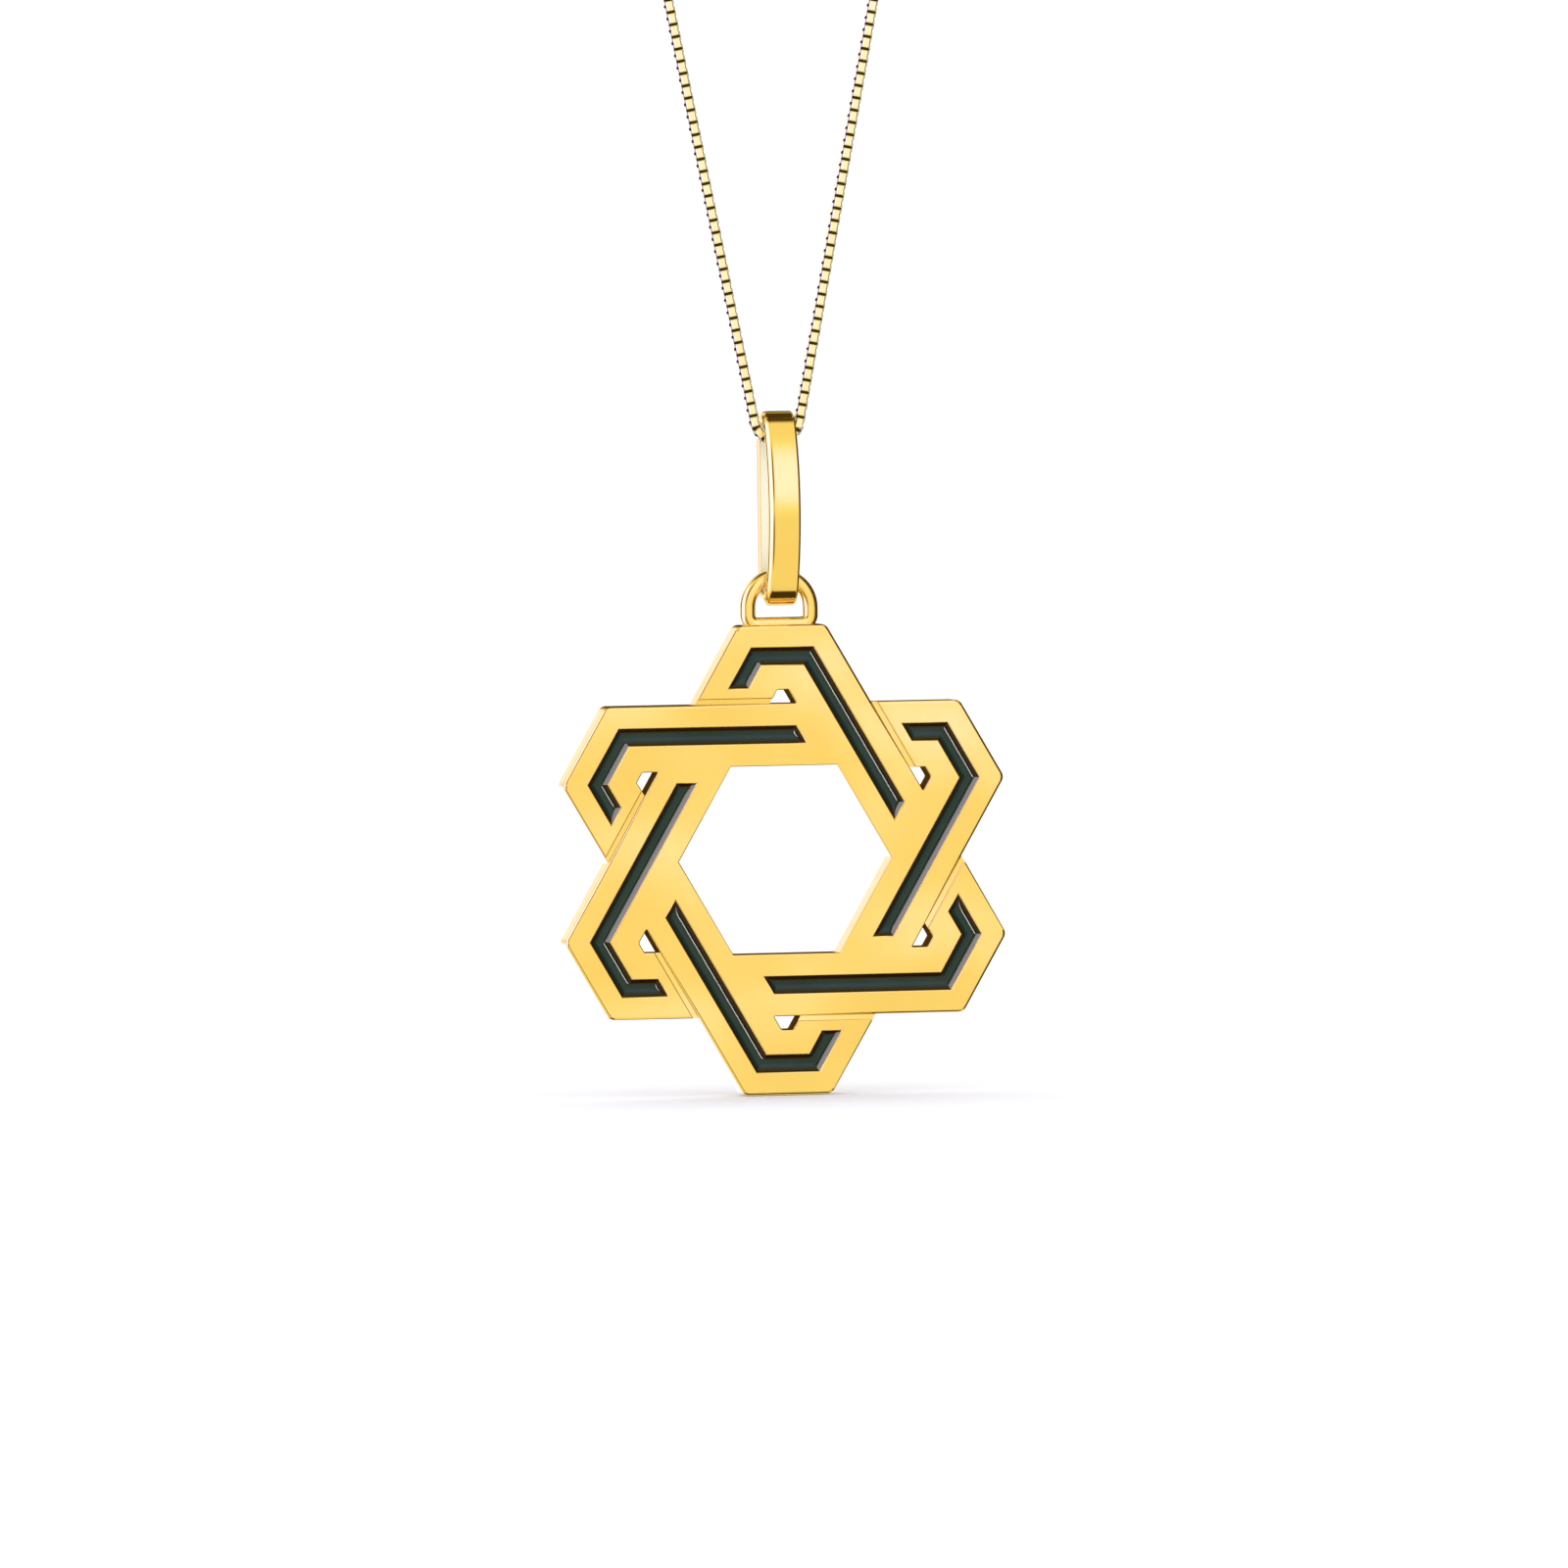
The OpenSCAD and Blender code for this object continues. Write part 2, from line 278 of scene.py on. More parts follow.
def circle_profile(radius, sides, squareness=1.0):
    """A circle, or with a squareness under 1 a circle whose sides are flatter."""
    profile = []
    for j in range(sides):
        a = 2 * math.pi * j / sides
        across, up = math.cos(a), math.sin(a)
        across = math.copysign(abs(across) ** squareness, across)
        up = math.copysign(abs(up) ** squareness, up)
        profile.append((radius * across, radius * up))
    return profile


def swept(stations, profile, closed=True):
    """A profile carried along stations, each a place with the two directions that the profile lies in."""
    bm = bmesh.new()
    rings = [[bm.verts.new(at + u * a + v * b) for a, b in profile] for at, u, v in stations]
    ahead = rings[1:] + rings[:1] if closed else rings[1:]
    for near, far in zip(rings, ahead):
        for j in range(len(profile)):
            k = (j + 1) % len(profile)
            bm.faces.new((near[j], near[k], far[k], far[j]))
    if not closed:
        bm.faces.new(rings[0])
        bm.faces.new(rings[-1][::-1])
    bmesh.ops.recalc_face_normals(bm, faces=bm.faces)
    return bm


def joined(parts, matrices):
    """One bmesh that holds several, each moved by its matrix."""
    whole = bmesh.new()
    for part, matrix in zip(parts, matrices):
        mesh = bpy.data.meshes.new("part")
        part.to_mesh(mesh)
        part.free()
        mesh.transform(matrix)
        whole.from_mesh(mesh)
        bpy.data.meshes.remove(mesh)
    return whole


def new_object(name, bm):
    """An object with the bmesh's shape. It frees the bmesh."""
    mesh = bpy.data.meshes.new(name)
    bm.to_mesh(mesh)
    bm.free()
    made = bpy.data.objects.new(name, mesh)
    bpy.context.scene.collection.objects.link(made)
    return made


def bake(made):
    """Turns an object's modifiers into its mesh."""
    graph = bpy.context.evaluated_depsgraph_get()
    mesh = bpy.data.meshes.new_from_object(made.evaluated_get(graph))
    made.modifiers.clear()
    old, made.data = made.data, mesh
    bpy.data.meshes.remove(old)


def smooth(made, angle=30):
    """Smooth shading that keeps flat faces flat and corners crisp."""
    made.data.shade_smooth()
    made.data.set_sharp_from_angle(angle=math.radians(angle))
    modifier = made.modifiers.new("normals", "WEIGHTED_NORMAL")
    modifier.keep_sharp = True
    modifier.weight = 100
    bake(made)


def place(made, body, material, replaced, at=(0, 0, 0)):
    """Brings a piece from millimetres to its place in the frame, and ties it to its body."""
    made.data.transform(Matrix.Scale(MM, 4) @ Matrix.Translation(at))
    made.data.materials.clear()
    made.data.materials.append(material)
    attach(made, body)
    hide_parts(*replaced)


def tip_matrix(i):
    """Turns the top tip into the tip with this number."""
    return Matrix.Rotation(math.radians(-TIP_TURN * i), 4, "Y")


def tip_points():
    """The top tip's outline, from its right corner to its left one, then the notch to its left."""
    corner = meet(RIGHT_LEG, OUTER_EDGE - TIP_R, UP, TIP_Z - TIP_R)
    tip = arc(corner, TIP_R, LEG_ANGLE, 90, TIP_STEPS)
    tip += arc((-corner.x, corner.y), TIP_R, 90, 180 - LEG_ANGLE, TIP_STEPS)
    return tip, meet(LEFT_LEG, OUTER_EDGE, UP, OUTER_EDGE)


def channel_corners():
    """Both sides of the enamel's line on the top tip, from the short arm's end to the long arm's end."""
    short_end, long_end = OUTER_EDGE + CHANNEL_END, INNER_EDGE - CHANNEL_END
    sides = []
    for shift in (-CHANNEL_W / 2, CHANNEL_W / 2):
        leg, flat = BAR_MID + shift, FLAT_MID + shift
        sides.append([
            meet(LEFT_LEG, leg, UP, short_end),
            meet(LEFT_LEG, leg, UP, flat),
            meet(RIGHT_LEG, leg, UP, flat),
            meet(RIGHT_LEG, leg, NEXT_BAR, long_end),
        ])
    return sides


def hole_points():
    """The small hole under the top tip, clockwise from the top of its left side to its lower left corner.
    That last corner is sharp, because the groove runs into it."""
    half = HOLE_W / 2
    top = half - LEG_SLOPE * HOLE_H
    places = ((-half, 0), (-top, HOLE_H), (top, HOLE_H), (half, 0))
    corners = [Vector((x, OUTER_EDGE + z)) for x, z in places]
    return rounded(corners, HOLE_R, HOLE_STEPS)[HOLE_STEPS + 1:] + corners[:1]


def dip_lines():
    """The groove along the upper bar's edge, where the top tip's left leg rolls down under it.
    Gives its points on the leg's outer side and on the hole's side, from the shoulder down to the bar."""
    section = []
    for i in range(SHOULDER_STEPS + 1):
        a = math.radians(90 * i / SHOULDER_STEPS)
        section.append((DIP_W - SHOULDER_W * math.sin(a), SHOULDER_D * (1 - math.cos(a))))
    section.append((0, DIP_D))
    outer, inner = [], []
    for up, depth in section:
        z = OUTER_EDGE + up
        outer.append(Vector((meet(LEFT_LEG, OUTER_EDGE, UP, z).x, FACE_Y + depth, z)))
        inner.append(Vector((LEG_SLOPE * up - HOLE_W / 2, FACE_Y + depth, z)))
    return outer, inner


def at_depth(points, y):
    """Points drawn in the star's plane, put at a depth."""
    return [Vector((p.x, y, p.y)) for p in points]


def at_front(points):
    return at_depth(points, FACE_Y)


def at_back(points):
    return at_depth(points, BACK_Y)


def walls(points, depth):
    """Straight walls from a line of points in the front plane back to a depth."""
    near, far = at_front(points), at_depth(points, depth)
    return [[near[i], near[i + 1], far[i + 1], far[i]] for i in range(len(points) - 1)]


def sector_faces():
    """All faces of the top tip's sixth of the star but its flat front and back."""
    tip, notch = tip_points()
    hole = hole_points()
    outer, inner = dip_lines()
    ahead = turned(tip[:1], TIP_TURN)[0]
    middle = turned([Vector((0, INNER_EDGE / math.cos(math.radians(TIP_TURN / 2))))], TIP_TURN / 2)
    channel_in, channel_out = channel_corners()
    channel = channel_out + channel_in[::-1]
    channel_floor = FACE_Y + CHANNEL_D
    faces = walls(tip, BACK_Y) + walls(hole, BACK_Y)[:-1]
    faces += walls(middle + turned(middle, TIP_TURN), BACK_Y)
    faces += walls(channel + channel[:1], channel_floor)
    faces.append(at_depth(channel, channel_floor))
    # Walls that the groove cuts: the outer ones of the leg and the bar, the hole's left and lower ones
    faces.append(at_front(tip[-1:]) + outer + at_back([notch, tip[-1]]))
    faces.append(at_front([notch]) + outer[-1:] + at_back([notch, ahead]) + at_front([ahead]))
    faces.append(at_front(hole[:1]) + inner + at_back([hole[-1], hole[0]]))
    faces.append(at_front(hole[-2:]) + inner[-1:] + at_back(hole[:-3:-1]))
    # The upper bar's edge above the groove, and the groove
    faces.append(at_front([notch]) + [outer[-1], inner[-1]] + at_front(hole[-1:]))
    for j in range(len(outer) - 1):
        faces.append([outer[j], outer[j + 1], inner[j + 1], inner[j]])
    return faces


def on_side(edge, y):
    """True when all of an edge lies in the plane at this depth."""
    return all(abs(v.co.y - y) < SAME for v in edge.verts)


def point_key(p):
    """The same for all copies of a point. Adding zero turns a minus zero into zero."""
    return tuple(round(c, SAME_DIGITS) + 0.0 for c in p)


def star_bm():
    """The star with openings, channels and grooves: a sixth turned to each tip, then the flat faces."""
    bm = bmesh.new()
    made = {}
    for i in range(TIPS):
        for points in sector_faces():
            ring = []
            for p in points:
                p = tip_matrix(i) @ p
                if point_key(p) not in made:
                    made[point_key(p)] = bm.verts.new(p)
                ring.append(made[point_key(p)])
            bm.faces.new(ring)
    for y in (FACE_Y, BACK_Y):
        rims = [e for e in bm.edges if e.is_boundary and on_side(e, y)]
        bmesh.ops.triangle_fill(bm, use_beauty=True, use_dissolve=False, edges=rims)
    bmesh.ops.recalc_face_normals(bm, faces=bm.faces)
    return bm


def mark_edges(bm):
    """Gives the star's front and back rims a bevel, and its openings and channels a finer one."""
    tip, notch = tip_points()
    rim = [p for i in range(TIPS) for p in turned(tip + [notch], TIP_TURN * i)]
    weight = bm.edges.layers.float.new("bevel_weight_edge")
    for edge in bm.edges:
        flat = on_side(edge, FACE_Y) or on_side(edge, BACK_Y)
        if flat and edge.calc_face_angle(0) > math.radians(EDGE_ANGLE):
            middle = (edge.verts[0].co + edge.verts[1].co) / 2
            outside = distance_to(Vector((middle.x, middle.z)), rim) < SAME
            edge[weight] = 1.0 if outside else INNER_EDGE_SHARE


def bevelled(bm):
    """The star as an object, with its marked edges made round."""
    star = new_object("star", bm)
    bevel = star.modifiers.new("round", "BEVEL")
    bevel.limit_method = "WEIGHT"
    bevel.width = EDGE_ROUND
    bevel.segments = EDGE_STEPS
    bevel.use_clamp_overlap = False
    bevel.loop_slide = False
    bake(star)
    return star


def mark_shade_marks(mesh):
    """Marks the walls of the small holes, where dark brown shade is painted."""
    first = [Vector((0, OUTER_EDGE + HOLE_H / 2))]
    holes = [turned(first, TIP_TURN * i)[0] for i in range(TIPS)]
    shade_marks = []
    for face in mesh.polygons:
        away = min((Vector((face.center.x, face.center.z)) - hole).length for hole in holes)
        wall = abs(face.normal.y) < WALL_LEAN and away < HOLE_PAINTED_SHADE_R
        shade_marks.append(HOLE_PAINTED_SHADE if wall else 0.0)
    # The painted shade, for each face
    mesh.attributes.new("inside", "FLOAT", "FACE").data.foreach_set("value", shade_marks)


def loop_bm():
    """The round wire of the star's loop: an arch, two legs and a straight foot on the star's top."""
    r = (LOOP_W - LOOP_WIRE) / 2
    arch_z = star_high.z - STAR_Z - LOOP_WIRE / 2 - r
    path = arc((0, arch_z), r, 0, 180, LOOP_STEPS)
    foot_z = TIP_Z + LOOP_CORNER_R
    path += arc((LOOP_CORNER_R - r, foot_z), LOOP_CORNER_R, 180, 270, LOOP_CORNER_STEPS)
    path += arc((r - LOOP_CORNER_R, foot_z), LOOP_CORNER_R, 270, 360, LOOP_CORNER_STEPS)
    stations = []
    for p, _, along in directions(path):
        stations.append((Vector((p.x, 0, p.y)), Vector((along.y, 0, -along.x)), Vector((0, 1, 0))))
    return swept(stations, circle_profile(LOOP_WIRE / 2, LOOP_SIDES, LOOP_SQUARENESS))


def make_star(material):
    """The star and its loop as one piece, as they are soldered."""
    bm = star_bm()
    mark_edges(bm)
    star = bevelled(bm)
    mark_shade_marks(star.data)
    bm = bmesh.new()
    bm.from_mesh(star.data)
    # The bevel leaves a few points in the same place
    bmesh.ops.remove_doubles(bm, verts=bm.verts, dist=WELD)
    whole = joined([bm, loop_bm()], [Matrix.Identity(4)] * 2)
    whole.to_mesh(star.data)
    whole.free()
    smooth(star)
    place(star, "star", material, ["star_frame"], (0, 0, STAR_Z))


def spread(length, step):
    """Places along a length from 0 to 1, packed closer at both ends."""
    fine, steps = ENAMEL_FINE_L, ENAMEL_FINE_STEPS
    ends = [fine * (1 - math.cos(math.pi / 2 * i / steps)) / length for i in range(steps)]
    count = max(1, round((length - 2 * fine) / step))
    middle = [(fine + (length - 2 * fine) * i / count) / length for i in range(count + 1)]
    return ends + middle + [1 - e for e in ends[::-1]]


def enamel_rows(inside, outside):
    """Rows of places across a line of enamel, from its short arm's end to its long arm's end."""
    across = [(1 - math.cos(math.pi * j / ENAMEL_ACROSS)) / 2 for j in range(ENAMEL_ACROSS + 1)]
    last = len(inside) - 2
    rows = []
    for k in range(last + 1):
        steps = spread((inside[k + 1] - inside[k]).length, ENAMEL_STEP)
        for t in steps if k == last else steps[:-1]:
            a = inside[k].lerp(inside[k + 1], t)
            b = outside[k].lerp(outside[k + 1], t)
            rows.append([a.lerp(b, s) for s in across])
    return rows


def add_underside(bm, grid, rim):
    """Closes the enamel with walls down to the channel's floor and a flat face there."""
    top = grid[0] + [line[-1] for line in grid[1:-1]]
    top += grid[-1][::-1] + [line[0] for line in grid[-2:0:-1]]
    bottom = []
    for v in top:
        low = bm.verts.new((v.co.x, FACE_Y + CHANNEL_D, v.co.z))
        low[rim] = v[rim]
        bottom.append(low)
    for j in range(len(top)):
        bm.faces.new((top[j - 1], top[j], bottom[j], bottom[j - 1]))
    bm.faces.new(bottom)


def enamel_bm(i):
    """One line of enamel, hollow between its sides. Each point keeps its distance to the rim for the
    shade painted at the rim, taken from a little aside, so that the painted shade is wider on the right
    and at the top."""
    shift = turned([ENAMEL_SHADE_SHIFT], -TIP_TURN * i)[0]
    inside, outside = channel_corners()
    outline = outside + inside[::-1]
    bm = bmesh.new()
    rim = bm.verts.layers.float.new("rim")
    grid = []
    for row in enamel_rows(inside, outside):
        line = []
        for p in row:
            rise = max(0.0, 1 - distance_to(p, outline) / ENAMEL_CURVE_W) ** 2
            y = FACE_Y + ENAMEL_MID + (ENAMEL_RIM - ENAMEL_MID) * rise
            v = bm.verts.new((p.x, y, p.y))
            v[rim] = distance_to(p + shift, outline)
            line.append(v)
        grid.append(line)
    for near, far in zip(grid, grid[1:]):
        for j in range(ENAMEL_ACROSS):
            bm.faces.new((near[j], near[j + 1], far[j + 1], far[j]))
    add_underside(bm, grid, rim)
    bmesh.ops.recalc_face_normals(bm, faces=bm.faces)
    return bm


def make_enamels(material):
    """The six lines of enamel, and a collection of them for the lamps that light nothing else."""
    glazed = bpy.data.collections.new("glazed")
    for i in range(TIPS):
        bm = enamel_bm(i)
        bm.transform(tip_matrix(i))
        enamel = new_object(f"enamel_line_{i + 1}", bm)
        enamel.data.shade_smooth()
        enamel.data.set_sharp_from_angle(angle=math.radians(ENAMEL_SHARP_ANGLE))
        place(enamel, "star", material, [f"enamel_{i + 1}"], (0, 0, STAR_Z))
        glazed.objects.link(enamel)
    return glazed


def bail_profile():
    """Cross-section of the bail's band: places across its width, and their depth from its outer face.
    Its left edge is softest."""
    half = bail_high.x
    corners = [
        (-1, 180, BAIL_T - BAIL_INNER_R, BAIL_INNER_R),
        (-1, 270, BAIL_LEFT_R, BAIL_LEFT_R),
        (1, 0, BAIL_RIGHT_R, BAIL_RIGHT_R),
        (1, 90, BAIL_T - BAIL_INNER_R, BAIL_INNER_R),
    ]
    profile = []
    for side, start, depth, r in corners:
        for k in range(BAIL_EDGE_STEPS + 1):
            a = math.radians(start + 90 * k / BAIL_EDGE_STEPS)
            profile.append((side * (half - r) + r * math.sin(a), depth - r * math.cos(a)))
    return profile


def bail_stations():
    """Stations round the bail, seen from its side: straight back, two round turns and a bowed front."""
    height, depth = bail_high.z - bail_low.z, bail_high.y - bail_low.y
    half = height / 2 - BAIL_R
    turn_y = bail_high.y - BAIL_R
    bow_out = depth - BAIL_R
    bow_r = (half ** 2 + bow_out ** 2 - BAIL_R ** 2) / (2 * (bow_out - BAIL_R))
    bow_y = turn_y - bow_out + bow_r
    bow_a = math.degrees(math.atan2(half, bow_y - turn_y))
    mid = (bail_high.z + bail_low.z) / 2
    arcs = [
        ((turn_y, mid + half), BAIL_R, 0, 180 - bow_a, BAIL_TURN_STEPS),
        ((bow_y, mid), bow_r, 180 - bow_a, 180 + bow_a, BAIL_FRONT_STEPS),
        ((turn_y, mid - half), BAIL_R, 180 + bow_a, 360, BAIL_TURN_STEPS),
    ]
    stations = []
    for centre, radius, start, end, steps in arcs:
        for i in range(1 if stations else 0, steps + 1):
            a = math.radians(start + (end - start) * i / steps)
            out = Vector((0, math.cos(a), math.sin(a)))
            at = Vector((0, centre[0], centre[1])) + out * radius
            stations.append((at, Vector((1, 0, 0)), -out))
    return stations


def make_bail(material, painted_highlight_material):
    """The bail's band, with a pale gold that paints in a highlight on its inner face. Its faces follow
    each other as the profile's sides do, ring after ring."""
    profile = bail_profile()
    bail = new_object("bail_band", swept(bail_stations(), profile))
    smooth(bail, BAIL_SHARP_ANGLE)
    place(bail, "bail", material, ["bail"])
    bail.data.materials.append(painted_highlight_material)
    for i, face in enumerate(bail.data.polygons):
        depths = (profile[i % len(profile)][1], profile[(i + 1) % len(profile)][1])
        face.material_index = int(min(depths) > BAIL_T - SAME)


def half_route(start):
    """Right half of the chain's middle line, from the clasp down to the middle of the bail."""
    first = math.degrees(start / TOP_R)
    points = arc((0, -TOP_R), TOP_R, 90 - first, -LEAN, TOP_STEPS)
    return points + arc((TURN_FLAT / 2, TURN_Z), TURN_R, -LEAN, -90, TURN_STEPS)


def link_places():
    """Middle and direction of each link, spaced evenly along the route."""
    left = [Vector((-p.x, p.y)) for p in half_route(-CHAIN_LEFT)]
    route = np.array(half_route(CHAIN_RIGHT) + left[::-1])
    run = np.concatenate([[0], np.cumsum(np.linalg.norm(np.diff(route, axis=0), axis=1))])
    pairs = round((run[-1] - LINK_L) / LINK_PITCH / 2)
    at = np.linspace(LINK_L / 2, run[-1] - LINK_L / 2, 2 * pairs + 1)

    def point(s):
        return np.stack([np.interp(s, run, route[:, 0]), 0 * s, np.interp(s, run, route[:, 1])], axis=1)

    along = point(at + LINK_PITCH / 4) - point(at - LINK_PITCH / 4)
    return point(at), along / np.linalg.norm(along, axis=1)[:, None]


def strip_stations():
    """Stations round the strip of one box link, seen from its side."""
    x, y = LINK_L / 2 - LINK_CORNER_R, LINK_OUT - LINK_CORNER_R
    path = []
    for corner, start in (((x, y), 0), ((-x, y), 90), ((-x, -y), 180), ((x, -y), 270)):
        path += arc(corner, LINK_CORNER_R, start, start + 90, LINK_CORNER_STEPS)
    stations = []
    for p, ahead, along in directions(path):
        inward = Vector((-along.y, along.x, 0)) / ahead.dot(along)
        stations.append((Vector((p.x, p.y, 0)), inward, Vector((0, 0, 1))))
    return stations


def link_shape():
    """One box link: a flat strip bent into a box, with a dark stud between its plates that paints the
    shadow in the gap.
    Gives points in its length, height and strip width, faces, and how dark the shade painted on each
    point is."""
    half, c = LINK_W / 2, LINK_CHAMFER
    profile = [(0, half - c), (c, half), (LINK_T, half), (LINK_T, -half), (c, -half), (0, c - half)]
    stations = strip_stations()
    bm = swept(stations, profile)
    # How dark the shade painted on each point is, by its depth in the strip
    shade_marks = [LINK_PAINTED_SHADE[depth] for _ in stations for depth, _ in profile]
    # The stud, a dark block that paints the shadow seen between the plates
    stud = bmesh.ops.create_cube(bm, size=1)["verts"]
    bmesh.ops.scale(bm, verts=stud, vec=(STUD_L, 2 * LINK_OUT - LINK_T, STUD_W))
    shade_marks += [STUD_PAINTED_SHADE] * len(stud)
    bm.verts.index_update()
    verts = np.array([v.co for v in bm.verts])
    faces = np.array([[v.index for v in f.verts] for f in bm.faces])
    bm.free()
    return verts, faces, shade_marks


def link_mesh(name, middles, along, first):
    """Many links as one mesh. Each is turned a quarter round the chain from the one before."""
    shape, faces, shade_marks = link_shape()
    count = len(middles)
    front = np.tile([0.0, 1.0, 0.0], (count, 1))
    side = np.cross(along, front)
    odd = ((np.arange(count) + first) % 2 == 1)[:, None]
    height, width = np.where(odd, side, front), np.where(odd, -front, side)
    axes = ((0, along), (1, height), (2, width))
    verts = middles[:, None] + sum(shape[None, :, i, None] * axis[:, None] for i, axis in axes)
    all_faces = faces[None] + np.arange(count)[:, None, None] * len(shape)
    mesh = bpy.data.meshes.new(name)
    mesh.from_pydata(verts.reshape(-1, 3).tolist(), [], all_faces.reshape(-1, 4).tolist())
    # The shade painted on the links, for each point
    mesh.attributes.new("inside", "FLOAT", "POINT").data.foreach_set("value", np.tile(shade_marks, count))
    return mesh


def make_chain(material):
    """All the links, in a few pieces that follow each other along the chain."""
    middles, along = link_places()
    for k, first in enumerate(range(0, len(middles), LINKS_A_PIECE)):
        part = slice(first, first + LINKS_A_PIECE)
        name = f"chain_links_{k + 1}"
        links = bpy.data.objects.new(name, link_mesh(name, middles[part], along[part], first))
        bpy.context.scene.collection.objects.link(links)
        place(links, "necklace", material, ["chain"])


def top_matrix(along):
    """A place on the necklace's round top, turned to lie along it."""
    a = along / TOP_R
    spot = Matrix.Translation((TOP_R * math.sin(a), 0, TOP_R * (math.cos(a) - 1)))
    return spot @ Matrix.Rotation(a, 4, "Y")


def upright():
    """Stands a flat ring up in the front plane."""
    return Matrix.Rotation(math.radians(90), 4, "X")


def ring_bm(radius, wire, steps=RING_STEPS, sides=RING_SIDES):
    """A round wire ring that lies flat."""
    stations = []
    for i in range(steps):
        a = 2 * math.pi * i / steps
        out = Vector((math.cos(a), math.sin(a), 0))
        stations.append((out * radius, out, Vector((0, 0, 1))))
    return swept(stations, circle_profile(wire / 2, sides))


def knob_bm():
    """The clasp's thumb knob: a short pin with a round end."""
    r, top = RING_WIRE / 2, CLASP_R + CLASP_WIRE / 2 + KNOB_H
    outline = [Vector((r, CLASP_R))] + arc((0, top - r), r, 0, KNOB_END_ANGLE, KNOB_END_STEPS)
    stations = [(Vector((0, 0, p.y)), Vector((p.x, 0, 0)), Vector((0, p.x, 0))) for p in outline]
    return swept(stations, circle_profile(1, RING_SIDES), closed=False)


def make_clasp(material):
    """The clasp's round tube with the eye and the thumb knob on it."""
    parts = [ring_bm(CLASP_R, CLASP_WIRE, CLASP_STEPS, CLASP_SIDES), ring_bm(EYE_R, RING_WIRE), knob_bm()]
    turns = [upright(), top_matrix(EYE_AT) @ upright(), Matrix.Rotation(math.radians(KNOB_ANGLE), 4, "Y")]
    clasp = new_object("clasp_ring_tube", joined(parts, turns))
    smooth(clasp, CLASP_SHARP_ANGLE)
    place(clasp, "necklace", material, ["clasp"])


def make_rings(material):
    """The ring in the clasp's eye, and the one that the clasp hooks into."""
    for name, node, at, radius in (
        ("ring_at_clasp", "clasp_ring", SMALL_RING_AT, SMALL_RING_R),
        ("ring_at_chain_end", "end_ring", END_RING_AT, END_RING_R),
    ):
        ring = new_object(name, joined([ring_bm(radius, RING_WIRE)], [top_matrix(at)]))
        ring.data.shade_smooth()
        place(ring, "necklace", material, [node])


def make_end_links(material):
    """The two small rings that join the chain's last links to the larger rings."""
    inset = (RING_WIRE + END_PLAY - LINK_T) / 2
    radius = (END_LINK_D - END_LINK_WIRE) / 2
    for name, at in (("chain_end_right", CHAIN_RIGHT - inset), ("chain_end_left", CHAIN_LEFT + inset)):
        bm = ring_bm(radius, END_LINK_WIRE, END_LINK_STEPS, END_LINK_SIDES)
        ring = new_object(name, joined([bm], [top_matrix(at) @ upright()]))
        ring.data.shade_smooth()
        place(ring, "necklace", material, ["chain"])


def add_node(tree, kind, inputs=(), **settings):
    """Adds a shader node. Each input takes a value or the output of an earlier node."""
    made = tree.nodes.new("ShaderNode" + kind)
    for name, value in settings.items():
        setattr(made, name, value)
    for key, value in dict(inputs).items():
        if isinstance(value, bpy.types.NodeSocket):
            tree.links.new(value, made.inputs[key])
        else:
            made.inputs[key].default_value = value
    return made


def new_material(name):
    material = bpy.data.materials.new(name)
    material.use_nodes = True
    return material, material.node_tree, material.node_tree.nodes["Principled BSDF"]


def calc(tree, operation, first, second):
    """A sum, product or the like of two values."""
    return add_node(tree, "Math", {0: first, 1: second}, operation=operation).outputs["Value"]


def noise(tree, size, detail=2.0, pattern=0.0):
    """Noise with blotches of a size in millimetres. Each pattern number puts them in other places."""
    where = add_node(tree, "TexCoord").outputs["Object"]
    inputs = {"Vector": where, "W": pattern, "Scale": 1 / (size * MM), "Detail": detail}
    return add_node(tree, "TexNoise", inputs, noise_dimensions="4D").outputs["Fac"]


def remap(tree, value, low, high, start=0.3, end=0.7):
    """Takes a value from the range start to end, where noise mostly lies, to the range low to high."""
    inputs = {"Value": value, "From Min": start, "From Max": end, "To Min": low, "To Max": high}
    return add_node(tree, "MapRange", inputs).outputs["Result"]


def blend_colours(tree, factor, first, second):
    """The first colour at 0 and the second at 1. A colour is three numbers or a node's output."""
    made = add_node(tree, "Mix", {"Factor": factor}, data_type="RGBA")
    for socket, colour in ((made.inputs[6], first), (made.inputs[7], second)):
        if isinstance(colour, bpy.types.NodeSocket):
            tree.links.new(colour, socket)
        else:
            socket.default_value = (*colour, 1)
    return made.outputs[2]


def bump(tree, height, distance, under=None):
    """Bumps of a height in millimetres, on top of others where there are any."""
    inputs = {"Height": height, "Distance": distance * MM, "Strength": 1.0}
    if under:
        inputs["Normal"] = under
    return add_node(tree, "Bump", inputs).outputs["Normal"]


